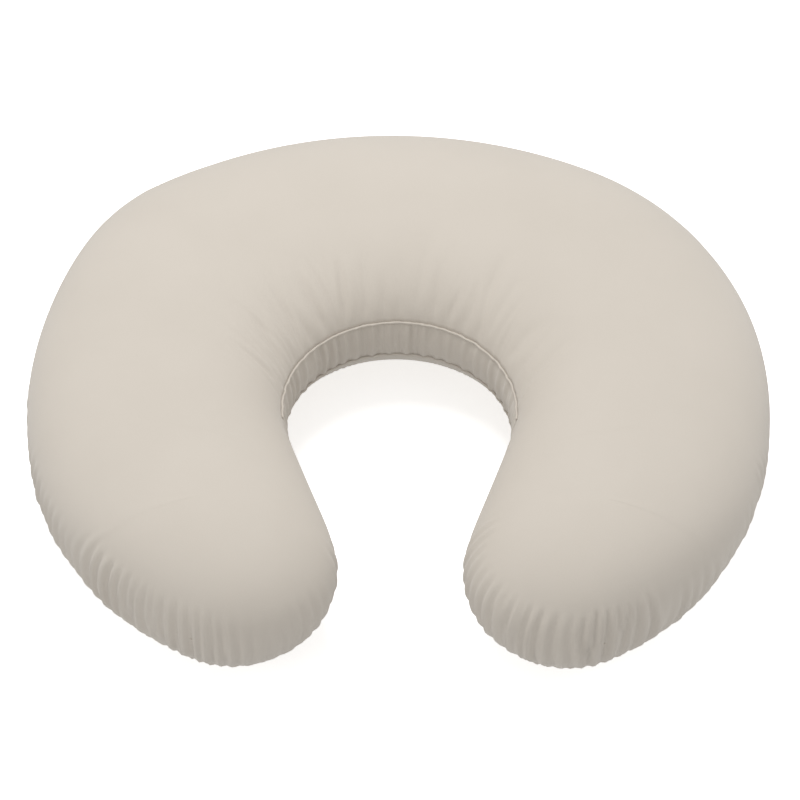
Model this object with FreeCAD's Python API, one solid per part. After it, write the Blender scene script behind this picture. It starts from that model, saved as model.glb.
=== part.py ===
"""C-shaped nursing pillow: a fibre-filled sewn insert inside a removable, zipped cover.

Millimetres. The pillow lies on the plane Z = 0 with +Z up. +Y points to its closed back, -Y to the open
front that goes round the waist, and +X to the right seen from the front. The origin is the centre of the
base of its bounding box. In plan, angles are measured clockwise from +Y, round the centre of the waist hole
or, for the zip, round the axis of the back edge.
"""
import FreeCAD, Part
import math
import os

V = FreeCAD.Vector
UP = V(0, 0, 1)

# --- driving dimensions: outline of the outer seam in plan, one half, as tangent arcs ---
BACK_DEPTH = 284.6  # waist hole centre to the outermost point of the back
BACK_R, BACK_END = 332.0, 28.0  # radius and the angle of the normal where the arc ends, degrees
SHOULDER_R, SHOULDER_END = 196.0, 62.7
SIDE_R, SIDE_END = 289.5, 111.0
LOWER_R, LOWER_END = 220.5, 154.0
TIP_R = 68.0
TIP_NORMAL = 192.0  # direction of the arm's end, degrees
HOLE_R = 82.0

# --- section through the stuffing ---
MID_Z = 60.0  # height of the outer seam
TOP_RISE = 60.0  # outer seam to crown
BOTTOM_DROP = 63.5  # outer seam to keel before the floor flattens it
FULLNESS = 0.615  # handle length of each quarter of a section, 0.55 is an ellipse
DOME_LENGTH = 78.0  # the arm's end rises to full height over this distance
STATIONS = 24  # sections on each half
STATION_CROWDING = 1.35  # above 1 the sections crowd toward the tip
LAST_STATION = 0.012  # share of the half's length left as a small flat at the tip

# --- fabrics and gaps ---
COVER_T = 0.8
LINER_T = 0.6
SEAM_ROOM = 4.4  # room for seam allowances and the zip between cover and liner, at the outer seam
SKIN_GAP = 0.6  # cover to liner elsewhere
FILL_GAP = 0.4  # liner to fibre
EDGE_GAP = 0.1  # half the line between two panels that meet

# --- inner band, round the waist hole ---
BAND_HALF = 17.5  # seam height above and below the outer seam
BAND_SPAN = 98.0  # half angle
CORD_R = 1.0  # rolled seam edge
CORD_CLEAR = 0.3
CORD_SINK = 2.2  # outward offset of the rolled edge's centre from the hole's radius at mid height
ZONE_DEPTH = 40.0

# --- zip in the back edge ---
ZIP_HALF = 26.0  # half angle of the opening
TRACK_HALF = 25.1  # half angle of the coil rows
SLOT_HALF = 4.2
TAPE_T, TAPE_IN, TAPE_OUT = 0.6, 0.5, 15.0
TAPE_DEPTH = 1.3  # back edge to the tape's outer face
COIL_IN, COIL_OUT = 0.5, 3.0
COIL_PROUD = 0.5
STOP_SPAN = 0.45  # angle that an end stop takes
STITCH_R = 0.3
STITCH_CLEAR = 0.4
STITCH_Z = 7.0

# --- slider and pull tab ---
SLIDER_LENGTH = 12.0
SLIDER_HALF = 4.6
PLATE_T = 1.1
OUTER_PLATE = 0.9  # back edge to the outer plate's inner face
INNER_PLATE = -3.4  # back edge to the inner plate's inner face
FLANGE_IN, FLANGE_OUT = 3.3, 3.9
POST_HALF, POST_LENGTH = 0.3, 3.2
BRIDGE_HALF_LENGTH, BRIDGE_T, BRIDGE_HALF_WIDTH, BRIDGE_RISE = 4.4, 1.1, 0.9, 2.3
TAB_HALF_WIDTH, TAB_T, TAB_LENGTH = 3.6, 1.3, 26.0
TAB_BAR_R, TAB_EYE, TAB_EYE_HALF = 0.65, 5.3, 1.7

# --- small sewn pieces ---
ALLOWANCE = 3.2  # width of the outer seam's turned-in edges
ALLOWANCE_HALF_T = 0.8
LABEL_ANGLE, LABEL_W, LABEL_DROP, LABEL_T = 33.0, 24.0, 17.0, 0.5
CLOSING_STITCHES, CLOSING_PITCH = 26, 5.5


def normal(degrees):
    """Unit vector in plan, clockwise from +Y."""
    a = math.radians(degrees)
    return V(math.sin(a), math.cos(a), 0)


class Outline:
    """One half of the plan outline, from the middle of the back to the arm's tip and back to the waist hole.

    seam and hole move the outer edge and the hole's edge into the pillow."""

    def __init__(self, seam=0.0, hole=0.0):
        radii = [r - seam for r in (BACK_R, SHOULDER_R, SIDE_R, LOWER_R, TIP_R)]
        ends = [BACK_END, SHOULDER_END, SIDE_END, LOWER_END]
        centre = V(0, BACK_DEPTH - BACK_R, 0)
        start = 0.0
        self.arcs = []
        for i, radius in enumerate(radii):
            if i:
                centre = centre + normal(start) * (radii[i - 1] - radius)
            end = ends[i] if i < len(ends) else None
            self.arcs.append((centre, radius, start, end))
            start = end
        tip_radius = radii[-1]
        outer = self.arcs[:-1] + [(centre, tip_radius, LOWER_END, TIP_NORMAL)]
        self.outer = [("arc",) + arc for arc in outer]
        self.front = centre.y - tip_radius
        self.tip = centre + normal(TIP_NORMAL) * tip_radius
        self.hole_r = HOLE_R + hole
        bearing = math.degrees(math.atan2(centre.x, centre.y)) % 360
        turn = math.degrees(math.acos((self.hole_r + tip_radius) / centre.Length))
        self.hole_end = bearing - turn
        line_start = normal(self.hole_end) * self.hole_r
        line_end = centre + normal(180 + self.hole_end) * tip_radius
        self.inner = [
            ("arc", V(0, 0, 0), self.hole_r, 0.0, self.hole_end),
            ("line", line_start, line_end),
            ("arc", centre, tip_radius, 180 + self.hole_end, TIP_NORMAL),
        ]


def piece_length(piece):
    if piece[0] == "line":
        return (piece[2] - piece[1]).Length
    return abs(math.radians(piece[4] - piece[3])) * piece[2]


def point_on(pieces, distance):
    """Point at a distance along a chain of arcs and lines."""
    for piece in pieces:
        length = piece_length(piece)
        if distance <= length or piece is pieces[-1]:
            share = min(1.0, distance / length)
            if piece[0] == "line":
                return piece[1] + (piece[2] - piece[1]) * share
            angle = piece[3] + (piece[4] - piece[3]) * share
            return piece[1] + normal(angle) * piece[2]
        distance -= length


HOLE_Y = -(BACK_DEPTH + Outline().front) / 2  # puts the bounding box's centre on Y = 0
SHIFT = V(0, HOLE_Y, 0)
ZIP_AXIS = V(0, HOLE_Y + BACK_DEPTH - BACK_R, 0)


def section(outer, inner, top, bottom):
    """Closed section wire: a curve over the crown and one under the keel, upright where they meet."""
    half = (inner - outer) / 2
    shoulder = half * (1 - FULLNESS)
    edges = []
    for rise in (UP * top, UP * -bottom):
        poles = [outer, outer + rise * FULLNESS, outer + rise + shoulder]
        poles += [inner + rise - shoulder, inner + rise * FULLNESS, inner]
        curve = Part.BSplineCurve()
        curve.buildFromPolesMultsKnots(poles, [4, 2, 4], [0, 0.5, 1], False, 3)
        edges.append(curve.toShape())
    return Part.Wire(edges)


def body(seam, hole, crown, floor):
    """The whole stuffed shape, inset from the cover's outside. The floor flattens its underside."""
    outline = Outline(seam, hole)
    inner_length = sum(piece_length(p) for p in outline.inner)
    outer_length = sum(piece_length(p) for p in outline.outer)
    half = []
    for i in range(STATIONS):
        share = (1 - i / (STATIONS - 1)) ** STATION_CROWDING
        left = LAST_STATION + (1 - LAST_STATION) * share  # share of the way still to go to the tip
        from_tip_inner = inner_length * left
        from_tip_outer = inner_length * left + (outer_length - inner_length) * left**2
        outer = point_on(outline.outer, outer_length - from_tip_outer)
        inner = point_on(outline.inner, inner_length - from_tip_inner)
        gone = min(1.0, ((outer + inner) / 2 - outline.tip).Length / DOME_LENGTH)
        dome = math.sqrt(1 - (1 - gone) ** 2)
        half.append((outer, inner, dome))
    wires = []
    for side, stations in ((-1, half[:0:-1]), (1, half)):
        for outer, inner, dome in stations:
            outer = V(side * outer.x, outer.y, MID_Z) + SHIFT
            inner = V(side * inner.x, inner.y, MID_Z) + SHIFT
            wires.append(section(outer, inner, (TOP_RISE - crown) * dome, (BOTTOM_DROP - crown) * dome))
    solid = Part.makeLoft(wires, True, False, False)
    below = Part.makeBox(900, 900, 100, V(-450, -450, floor - 100))
    return solid.cut(below)


def revolved(points, axis, start, end):
    """Polygon in (radius, z) turned about a vertical axis from one plan angle to another."""
    corners = [axis + normal(start) * radius + UP * z for radius, z in points]
    face = Part.Face(Part.makePolygon(corners + corners[:1]))
    return face.revolve(axis, V(0, 0, -1), end - start)


def block(r0, r1, z0, z1):
    return [(r0, z0), (r1, z0), (r1, z1), (r0, z1)]


def ring(axis, r0, r1, z0, z1, start, end):
    return revolved(block(r0, r1, z0, z1), axis, start, end)


def rod_ring(axis, radius, z, wire_r, start, end):
    """Round cord bent round a vertical axis."""
    centre = axis + normal(start) * radius + UP * z
    circle = Part.makeCircle(wire_r, centre, normal(start + 90))
    return Part.Face(Part.Wire(circle)).revolve(axis, V(0, 0, -1), end - start)


def slab(z0, z1):
    return Part.makeBox(900, 900, z1 - z0, V(-450, -450, z0))


def make_casing(outside, inside, zip_slot):
    """Top panel, bottom panel and inner band of one casing, from the shapes of its outside and inside."""
    edge = BAND_HALF + CORD_R + CORD_CLEAR
    zone = ring(SHIFT, HOLE_R - 10, HOLE_R + ZONE_DEPTH, MID_Z - edge, MID_Z + edge, -BAND_SPAN, BAND_SPAN)
    slot = ring(ZIP_AXIS, BACK_R - 6, BACK_R + 6, MID_Z - SLOT_HALF, MID_Z + SLOT_HALF, -ZIP_HALF, ZIP_HALF)
    panels = []
    for z0, z1 in ((MID_Z + EDGE_GAP, MID_Z + 120), (MID_Z - 120, MID_Z - EDGE_GAP)):
        panel = outside.common(slab(z0, z1)).cut(inside).cut(zone)
        panels.append(panel.cut(slot) if zip_slot else panel)
    edge = BAND_HALF - CORD_R - CORD_CLEAR
    end = BAND_SPAN - 0.3
    strip = ring(SHIFT, HOLE_R - 10, HOLE_R + ZONE_DEPTH, MID_Z - edge, MID_Z + edge, -end, end)
    return panels[0], panels[1], outside.common(strip).cut(inside)


def seam_allowance(side):
    """Turned-in, overlocked edges inside the outer seam, from the zip's end round the arm's tip."""
    far, near = Outline(COVER_T + 0.3, 0), Outline(COVER_T + 0.3 + ALLOWANCE, 0)

    def chain(outline):
        edges = []
        for kind, centre, radius, start, end in outline.outer:
            start = max(start, ZIP_HALF + 1.2)
            middle = (start + end) / 2
            points = [centre + normal(a) * radius + SHIFT for a in (start, middle, end)]
            points = [V(side * p.x, p.y, MID_Z - ALLOWANCE_HALF_T) for p in points]
            edges.append(Part.Arc(*points).toShape())
        return edges

    outside, inside = chain(far), chain(near)
    ends = [
        Part.makeLine(outside[0].Vertexes[0].Point, inside[0].Vertexes[0].Point),
        Part.makeLine(outside[-1].Vertexes[-1].Point, inside[-1].Vertexes[-1].Point),
    ]
    wire = Part.Wire(Part.__sortEdges__(outside + inside + ends))
    return Part.Face(wire).extrude(UP * (2 * ALLOWANCE_HALF_T))


def recession(z):
    """How far the back edge's section has curved in at a height above the outer seam."""
    low, high = 0.0, 1.0
    for _ in range(40):
        t = (low + high) / 2
        height = 3 * (1 - t) ** 2 * t * FULLNESS + 3 * (1 - t) * t**2 + t**3
        low, high = (t, high) if height * TOP_RISE < z else (low, t)
    return (BACK_DEPTH - HOLE_R) / 2 * (3 * (1 - t) * t**2 * (1 - FULLNESS) + t**3)


def zip_tape(side):
    """Woven tape that follows the inside of a panel; side is 1 for the upper tape and -1 for the lower."""
    heights = [TAPE_IN, (TAPE_IN + TAPE_OUT) / 2, TAPE_OUT]
    rows = []
    for depth in (TAPE_DEPTH, TAPE_DEPTH + TAPE_T):
        points = [V(0, BACK_R - depth - recession(z), MID_Z + side * z) for z in heights]
        rows.append([p + ZIP_AXIS for p in points])
    outer, inner = rows
    wire = Part.Wire([
        Part.Arc(*outer).toShape(),
        Part.makeLine(outer[2], inner[2]),
        Part.Arc(*inner[::-1]).toShape(),
        Part.makeLine(inner[0], outer[0]),
    ])
    face = Part.Face(wire)
    span = ZIP_HALF + 0.8
    face.rotate(ZIP_AXIS, UP, span)
    return face.revolve(ZIP_AXIS, V(0, 0, -1), 2 * span)


def zip_coil(side):
    """One row of the coil, as the rounded envelope of its turns."""
    low, high = sorted((MID_Z + side * COIL_IN, MID_Z + side * COIL_OUT))
    row = ring(ZIP_AXIS, BACK_R - TAPE_DEPTH, BACK_R + COIL_PROUD, low, high, -TRACK_HALF, TRACK_HALF)
    return row.makeFillet(0.6, [e for e in row.Edges if e.Length > 50])


def zip_stops(start, joined):
    """Crimped end stops: one on each row at the closed end, a single one across both at the other."""
    r0, r1 = BACK_R - TAPE_DEPTH, BACK_R + COIL_PROUD + 0.2
    if joined:
        return ring(ZIP_AXIS, r0, r1, MID_Z - COIL_OUT, MID_Z + COIL_OUT, start, start + STOP_SPAN)
    upper = ring(ZIP_AXIS, r0, r1, MID_Z + COIL_IN, MID_Z + COIL_OUT, start, start + STOP_SPAN)
    lower = ring(ZIP_AXIS, r0, r1, MID_Z - COIL_OUT, MID_Z - COIL_IN, start, start + STOP_SPAN)
    return Part.makeCompound([upper, lower])


SLIDER_SPAN = math.degrees(SLIDER_LENGTH / BACK_R)  # angle that the slider takes along the track
SLIDER_REST = -(TRACK_HALF - 0.1) + SLIDER_SPAN / 2
SLIDER_TRAVEL = 2 * abs(SLIDER_REST)


def plate_outline():
    """Rounded shield of a slider plate, seen along the radius at the middle of the back, extruded through."""
    half, width, waist = SLIDER_LENGTH / 2, SLIDER_HALF, SLIDER_HALF * 0.72
    corners = [(-half, waist), (-half * 0.2, width), (half * 0.7, width), (half, waist)]
    corners += [(x, -z) for x, z in corners[::-1]]
    points = [ZIP_AXIS + V(x, BACK_R - 20, MID_Z + z) for x, z in corners]
    shield = Part.Face(Part.makePolygon(points + points[:1])).extrude(V(0, 40, 0))
    return shield.makeFillet(1.2, [e for e in shield.Edges if e.Length > 39])


def at_rest(shape):
    """Turns a shape made at the middle of the back to where the slider is parked."""
    shape.rotate(ZIP_AXIS, UP, -SLIDER_REST)
    return shape


def slider_body():
    span = SLIDER_SPAN / 2 + 0.2
    outer_face = BACK_R + OUTER_PLATE
    shield = plate_outline()

    def plate(r0):
        whole = ring(ZIP_AXIS, r0, r0 + PLATE_T, MID_Z - 9, MID_Z + 9, -span, span)
        return whole.common(shield)

    body_parts = [plate(outer_face), plate(BACK_R + INNER_PLATE)]
    reach = math.degrees((SLIDER_LENGTH / 2 - 1.6) / BACK_R)
    for side in (1, -1):
        z0, z1 = sorted((MID_Z + side * FLANGE_IN, MID_Z + side * FLANGE_OUT))
        flange = ring(ZIP_AXIS, BACK_R - 0.8, outer_face + 0.3, z0, z1, -reach, reach)
        body_parts.append(flange)
    start = -SLIDER_SPAN / 2 + math.degrees(0.8 / BACK_R)
    post_end = start + math.degrees(POST_LENGTH / BACK_R)
    low, high = MID_Z - POST_HALF, MID_Z + POST_HALF
    post = ring(ZIP_AXIS, BACK_R + INNER_PLATE + 0.5, outer_face + 0.5, low, high, start, post_end)
    body_parts.append(post)
    base = outer_face + PLATE_T
    low = V(-BRIDGE_HALF_LENGTH, base - 0.5, MID_Z - BRIDGE_HALF_WIDTH)
    height = BRIDGE_RISE + BRIDGE_T + 0.5
    arch = Part.makeBox(2 * BRIDGE_HALF_LENGTH, height, 2 * BRIDGE_HALF_WIDTH, low + ZIP_AXIS)
    arch = arch.makeFillet(1.4, [e for e in arch.Edges if is_arch_shoulder(e, base)])
    opening = V(-BRIDGE_HALF_LENGTH + BRIDGE_T, base, MID_Z - 2) + ZIP_AXIS
    arch = arch.cut(Part.makeBox(2 * (BRIDGE_HALF_LENGTH - BRIDGE_T), BRIDGE_RISE, 4, opening))
    whole = body_parts[0].multiFuse(body_parts[1:] + [arch])
    return at_rest(whole.removeSplitter())


def is_arch_shoulder(edge, base):
    """The two upper outer edges of the bridge, which run along Z."""
    along_z = abs(edge.tangentAt(edge.FirstParameter).z) > 0.9
    return along_z and edge.CenterOfMass.y - ZIP_AXIS.y > base + 1


TAB_AXIS_R = BACK_R + OUTER_PLATE + PLATE_T + BRIDGE_RISE / 2


def pull_tab():
    """Flat tab with an eye round the slider's bridge, lying along the closed chain."""
    def plate(x0, x1, half):
        corner = V(x0, TAB_AXIS_R - TAB_T / 2, MID_Z - half)
        return Part.makeBox(x1 - x0, TAB_T, 2 * half, corner + ZIP_AXIS)

    tab = plate(0, TAB_LENGTH, TAB_HALF_WIDTH)
    far = [e for e in tab.Edges if abs(e.tangentAt(0).y) > 0.9 and e.CenterOfMass.x > TAB_LENGTH / 2]
    tab = tab.makeFillet(TAB_HALF_WIDTH - 0.4, far)
    tab = tab.cut(plate(-1, TAB_EYE, TAB_EYE_HALF))
    bar_foot = V(0, TAB_AXIS_R, MID_Z - TAB_HALF_WIDTH) + ZIP_AXIS
    tab = tab.fuse(Part.makeCylinder(TAB_BAR_R, 2 * TAB_HALF_WIDTH, bar_foot))
    hang_hole = Part.makeCylinder(1.5, 10, V(TAB_LENGTH - 4.5, TAB_AXIS_R - 5, MID_Z) + ZIP_AXIS, V(0, 1, 0))
    tab = tab.cut(hang_hole)
    tab = tab.cut(tab_recess(plate))
    return at_rest(tab)


def tab_recess(plate):
    """Thumb recess pressed into the tab's outer face."""
    recess = plate(TAB_EYE + 3, TAB_LENGTH - 8, TAB_HALF_WIDTH - 1.2)
    recess.translate(V(0, TAB_T - 0.3, 0))
    return recess


def closing_stitches():
    """Thread bars that close the liner's stuffing opening, across its outer seam on the right side."""
    outline = Outline(COVER_T + SEAM_ROOM - 0.5, 0)
    start = sum(piece_length(p) for p in outline.outer[:2]) + 10
    bars = []
    for i in range(CLOSING_STITCHES):
        spot = point_on(outline.outer, start + i * CLOSING_PITCH) + SHIFT
        bars.append(Part.makeCylinder(0.3, 6, V(spot.x, spot.y, MID_Z - 3)))
    return Part.makeCompound(bars)


def care_label():
    """Blank folded label that hangs from the outer seam beside the zip's open end."""
    span = math.degrees(LABEL_W / SHOULDER_R)
    centre, radius = Outline().arcs[1][:2]
    axis = centre + SHIFT
    start = LABEL_ANGLE
    r0 = radius + 0.5
    leaf = ring(axis, r0, r0 + LABEL_T, MID_Z - LABEL_DROP, MID_Z, start, start + span)
    return leaf


def export(name, shape):
    solids = shape.Solids
    assert solids, name + " has no solid"
    for solid in solids:
        assert solid.isValid() and solid.Volume > 0, name + " is not a valid solid"
    whole = solids[0] if len(solids) == 1 else Part.makeCompound(solids)
    whole.exportStep("parts/" + name + ".step")
    box = whole.BoundBox
    print(f"{name:22s} {len(solids):3d} solid(s) {whole.Volume / 1000:10.2f} cm3  x {box.XMin:7.1f} {box.XMax:7.1f}"
          f"  y {box.YMin:7.1f} {box.YMax:7.1f}  z {box.ZMin:6.1f} {box.ZMax:6.1f}")


def main():
    os.makedirs("parts", exist_ok=True)
    liner_seam = COVER_T + SEAM_ROOM
    liner_skin = COVER_T + SKIN_GAP
    cover_outside = body(0, 0, 0, 0)
    cover_inside = body(COVER_T, COVER_T, COVER_T, COVER_T)
    liner_outside = body(liner_seam, liner_skin, liner_skin, liner_skin)
    inside = liner_skin + LINER_T
    liner_inside = body(liner_seam + LINER_T, inside, inside, inside)
    fill_skin = inside + FILL_GAP
    export("fibre_fill", body(liner_seam + LINER_T + FILL_GAP, fill_skin, fill_skin, fill_skin))
    for casing, outside, hollow in (("cover", cover_outside, cover_inside), ("liner", liner_outside, liner_inside)):
        top, bottom, band = make_casing(outside, hollow, casing == "cover")
        export(casing + "_top_panel", top)
        export(casing + "_bottom_panel", bottom)
        export(casing + "_inner_band", band)
    cord_end = BAND_SPAN - 0.3
    for name, z in (("band_top_seam", MID_Z + BAND_HALF), ("band_bottom_seam", MID_Z - BAND_HALF)):
        export(name, rod_ring(SHIFT, HOLE_R + CORD_SINK, z, CORD_R, -cord_end, cord_end))
    export("outer_seam_left", seam_allowance(-1))
    export("outer_seam_right", seam_allowance(1))
    export("liner_closing_stitch", closing_stitches())
    for name, side in (("upper", 1), ("lower", -1)):
        export("zip_tape_" + name, zip_tape(side))
        export("zip_coil_" + name, zip_coil(side))
        radius = BACK_R - recession(STITCH_Z) + STITCH_R + STITCH_CLEAR
        stitch = rod_ring(ZIP_AXIS, radius, MID_Z + side * STITCH_Z, STITCH_R, -ZIP_HALF, ZIP_HALF)
        export("zip_stitch_" + name, stitch)
    export("zip_top_stops", zip_stops(-TRACK_HALF - 0.02 - STOP_SPAN, False))
    export("zip_bottom_stop", zip_stops(TRACK_HALF + 0.02, True))
    export("zip_slider_body", slider_body())
    export("zip_pull_tab", pull_tab())
    export("care_label", care_label())
    print("zip axis y", round(ZIP_AXIS.y, 3), "slider rest", round(SLIDER_REST, 3), "travel", round(SLIDER_TRAVEL, 3))
    print("hole y", round(HOLE_Y, 3), "hole arc end", round(Outline().hole_end, 2), "tab axis r", TAB_AXIS_R)


main()
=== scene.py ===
"""Looks of the nursing pillow: cotton cover with puckers, seams, zip and label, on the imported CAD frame.

Metres, in the frame of the CAD model: +Z up, +Y to the closed back, -Y to the open front, +X to the right.
The cover is one grid of cloth that follows the outer seam. Its columns run round the outline and its rows
run from the underside's crown over the seam to the top's. A small cloth solver lets spare cloth buckle into
puckers at the arms' ends. The creases round the hole and the band's gathers are drawn before it runs.
"""
import math

import bpy
import numpy as np
from mathutils import Matrix, Vector


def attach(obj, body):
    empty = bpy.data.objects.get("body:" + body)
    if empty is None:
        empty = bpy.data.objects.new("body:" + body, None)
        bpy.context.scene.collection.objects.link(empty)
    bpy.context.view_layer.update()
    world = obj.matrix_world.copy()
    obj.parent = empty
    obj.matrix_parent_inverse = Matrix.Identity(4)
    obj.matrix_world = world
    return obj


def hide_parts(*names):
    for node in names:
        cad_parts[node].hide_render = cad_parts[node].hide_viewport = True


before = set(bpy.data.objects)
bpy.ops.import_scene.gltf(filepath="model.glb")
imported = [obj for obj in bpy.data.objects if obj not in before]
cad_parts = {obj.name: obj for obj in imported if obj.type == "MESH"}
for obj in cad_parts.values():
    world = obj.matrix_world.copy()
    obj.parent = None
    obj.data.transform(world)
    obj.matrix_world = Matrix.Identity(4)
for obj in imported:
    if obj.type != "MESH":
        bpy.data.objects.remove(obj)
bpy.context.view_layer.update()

MM = 0.001

# --- sizes of the CAD model, in millimetres and degrees ---
MID_Z = 60.0
TOP_RISE = 60.0
BOTTOM_DROP = 63.5
FULLNESS = 0.615
BACK_DEPTH = 284.6
ARCS = ((332.0, 28.0), (196.0, 62.7), (289.5, 111.0), (220.5, 154.0), (68.0, 192.0))  # radius, end angle
HOLE_R = 82.0
ZIP_HALF = 26.0
COIL_HALF = 25.1
BAND_HALF_ANGLE = 98.0
BAND_HALF = 17.5

# --- cloth grid, in millimetres ---
DOME_LENGTH = 66.0  # the arms' ends rise to full height over this distance, a little sooner than in the CAD
BULGES = ((-240.0, 5.0), (-385.0, -1.0), (-560.0, 1.5), (345.0, 2.5), (620.0, 0.8))  # place on seam, size
BULGE_LENGTH, BULGE_HEIGHT = 75.0, 90.0
BAND_REACH = 160.0  # from the middle of the hole's seam line: the band's columns lie nearer than this
SEAM_DIP = 32.0  # how far the outer seam sags below mid height at the arms' ends, along the cloth
SEAM_ROWS = (0.0, 2.1, 4.2, 6.9, 9.5, 12.2, 14.8, 17.5)  # distances of the first rows from the outer seam
SLOT_ROW, STITCH_ROW, BAND_ROW = 2, 3, 7  # rows at the zip's slot, its stitches and the band's seam
CROWN_ROWS = 32  # rows from there to the crown
BACK_STEP, TIP_STEP = 3.2, 2.2  # column spacing on the outer seam, at the back and near the tips

# --- small pieces, in millimetres and degrees ---
SEAM_ROLL_R, SEAM_ROLL_SIDES = 0.9, 10  # rolled edge of the band's seams
COIL_PITCH, COIL_POINTS, COIL_WIRE_R = 1.6, 12, 0.33
COIL_MIDDLE, COIL_DEPTH, COIL_CENTRE, COIL_REACH = -0.4, 0.55, 1.3, 1.25  # from back edge and mid height
STITCH_LENGTH, STITCH_PITCH, STITCH_THREAD_R = 2.6, 3.4, 0.24
LABEL_ANGLE, LABEL_WIDTH, LABEL_DROP, LABEL_FOLD = 33.0, 24.0, 17.0, 0.5


def normals_at(degrees):
    a = np.radians(np.asarray(degrees, float))
    return np.stack([np.sin(a), np.cos(a)], -1)


def ramp(x, *pairs):
    """Piecewise linear weight through (x, weight) pairs."""
    xs, ws = zip(*pairs)
    return np.interp(x, xs, ws)


def outline():
    """Outer chain of arcs, the last arc's centre and the angle where the hole's arc ends."""
    centre, start, chain = np.array([0.0, BACK_DEPTH - ARCS[0][0]]), 0.0, []
    for i, (radius, end) in enumerate(ARCS):
        if i:
            centre = centre + normals_at(start) * (ARCS[i - 1][0] - radius)
        chain.append((centre, radius, start, end))
        start = end
    tip, radius = chain[-1][:2]
    bearing = math.degrees(math.atan2(tip[0], tip[1])) % 360
    hole_end = bearing - math.degrees(math.acos((HOLE_R + radius) / np.linalg.norm(tip)))
    return chain, tip, hole_end


def sample(pieces):
    """Dense points along arcs (centre, radius, start, end), with their running length."""
    points = []
    for centre, radius, start, end in pieces:
        steps = max(2, int(abs(math.radians(end - start)) * radius / 0.4))
        points.append(centre + normals_at(np.linspace(start, end, steps)) * radius)
    points = np.concatenate(points)
    run = np.r_[0, np.cumsum(np.linalg.norm(np.diff(points, axis=0), axis=1))]
    return points, run


def along(line, distance):
    points, run = line
    return np.stack([np.interp(distance, run, points[:, k]) for k in (0, 1)], -1)


def columns():
    """Plan position of every column's seam point and of its crown point, round the closed outline, in mm.

    Also each column's crown number, its distance along the outline and whether it is on the inner side."""
    chain, tip, hole_end = outline()
    tip_r = ARCS[-1][0]
    outer = sample(chain)
    inner = sample([(np.zeros(2), HOLE_R, 0.0, hole_end)])
    straight = np.linspace(normals_at(hole_end) * HOLE_R, tip + normals_at(180 + hole_end) * tip_r, 200)
    tip_arc = sample([(tip, tip_r, 180 + hole_end, ARCS[-1][1])])[0]
    points = np.concatenate([inner[0], straight[1:], tip_arc[1:]])
    inner = points, np.r_[0, np.cumsum(np.linalg.norm(np.diff(points, axis=0), axis=1))]
    outer_length, inner_length = outer[1][-1], inner[1][-1]
    extra = outer_length - inner_length
    cap_length = math.radians(180 + hole_end - ARCS[-1][1]) * tip_r  # inner distance from tip to last pair

    zip_end = math.radians(ZIP_HALF) * ARCS[0][0]
    stops = [0.0]  # outer distances of the paired columns from the middle of the back
    last_pair = outer_length - (cap_length + extra * (cap_length / inner_length) ** 2)
    zip_steps = round(zip_end / BACK_STEP)
    stops += list(np.linspace(0, zip_end, zip_steps + 1)[1:])
    while stops[-1] < last_pair:
        share = min(1.0, stops[-1] / (0.62 * last_pair))
        stops.append(stops[-1] + BACK_STEP + (TIP_STEP - BACK_STEP) * share**2)
    stops = np.array(stops)
    past_zip = stops > zip_end + 1e-6
    stops[past_zip] = zip_end + (stops[past_zip] - zip_end) * (last_pair - zip_end) / (stops[-1] - zip_end)
    from_tip = outer_length - stops
    share = (-inner_length + np.sqrt(inner_length**2 + 4 * extra * from_tip)) / (2 * extra)
    outer_points = along(outer, stops)
    inner_points = along(inner, inner_length * (1 - share))
    crown = (outer_points + inner_points) / 2
    rest_outer = np.linspace(last_pair, outer_length, int((outer_length - last_pair) / TIP_STEP))[1:]
    rest_inner = np.linspace(inner_length, inner_length - cap_length, int(cap_length / TIP_STEP))[1:-1]
    cap_points = np.concatenate([along(outer, rest_outer), along(inner, rest_inner)])

    n, m = len(stops), len(cap_points)
    run = np.concatenate([stops, rest_outer, outer_length + inner_length - rest_inner])
    run = np.concatenate([run, outer_length + inner_length * share[::-1]])
    side = np.r_[np.zeros(n), np.full(m, 0.5), np.ones(n)]
    seam = np.concatenate([outer_points, cap_points, inner_points[::-1]])
    crowns = np.concatenate([crown, np.repeat(crown[-1:], m, 0), crown[::-1]])
    number = np.r_[np.arange(n), np.full(m, n - 1), np.arange(n)[::-1]]
    mirror = np.array([-1.0, 1.0])
    left = slice(-2, 0, -1)  # the other half, back from the hole to the back, without the two shared columns
    other = np.where(number[left] == 0, 0, number[left] + n - 1)
    rise = np.linalg.norm(crowns - along(outer, outer_length), axis=1) / DOME_LENGTH
    rise = np.sqrt(1 - (1 - np.minimum(1, rise)) ** 2)
    return {
        "seam": np.concatenate([seam, seam[left] * mirror]),
        "crown": np.concatenate([crowns, crowns[left] * mirror]),
        "rise": np.concatenate([rise, rise[left]]),
        "number": np.concatenate([number, other]),
        "run": np.concatenate([run, -run[left]]),
        "side": np.concatenate([side, side[left]]),
        "length": outer_length + inner_length,
    }


def quarter(c, drop):
    """Dense points from mid height to the crown on each column, along a smooth quarter of the section."""
    t = np.linspace(0, 1, 80)[None, :, None]
    b1, b2, b3 = 3 * (1 - t) ** 2 * t, 3 * (1 - t) * t**2, t**3
    start = np.c_[c["seam"], np.full(len(c["seam"]), MID_Z)][:, None]
    across = np.c_[c["crown"] - c["seam"], np.zeros(len(c["seam"]))][:, None]
    up = np.zeros_like(start)
    up[:, 0, 2] = drop * c["rise"]
    return start + up * (b1 * FULLNESS + b2 + b3) + across * (b2 * (1 - FULLNESS) + b3)


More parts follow.
